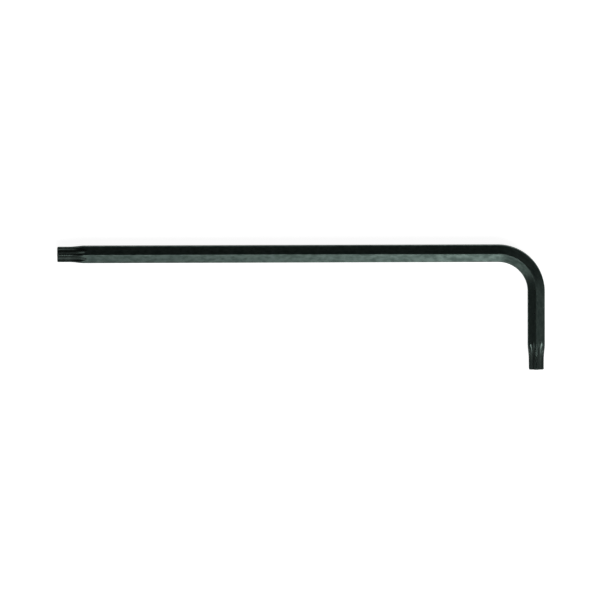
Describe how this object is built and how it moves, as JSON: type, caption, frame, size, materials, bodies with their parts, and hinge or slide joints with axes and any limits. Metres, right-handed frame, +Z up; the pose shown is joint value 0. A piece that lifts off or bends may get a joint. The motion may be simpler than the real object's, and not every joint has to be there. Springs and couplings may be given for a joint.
{
  "type": "star key",
  "caption": "L-shaped star key of black hexagonal steel bar, with a lobed star driver on the end of each arm for turning star-socket screws.",
  "frame": {"origin": "centre of the key's bounding box at its base, with the key lying flat on a corner line of its hexagonal bar", "axes": "+X along the long arm, from its star end towards the bend; +Y from the short arm's star end towards the long arm; +Z up, square to the plane of the L"},
  "size_m": [0.1136, 0.0292, 0.0045],
  "materials": {
    "black_oxide_steel": "black oxide on drawn steel, satin, lightly oiled"
  },
  "bodies": {
    "root": {"long_star_tip": "black_oxide_steel", "long_arm": "black_oxide_steel", "bend": "black_oxide_steel", "short_arm": "black_oxide_steel", "short_star_tip": "black_oxide_steel"}
  },
  "joints": []
}
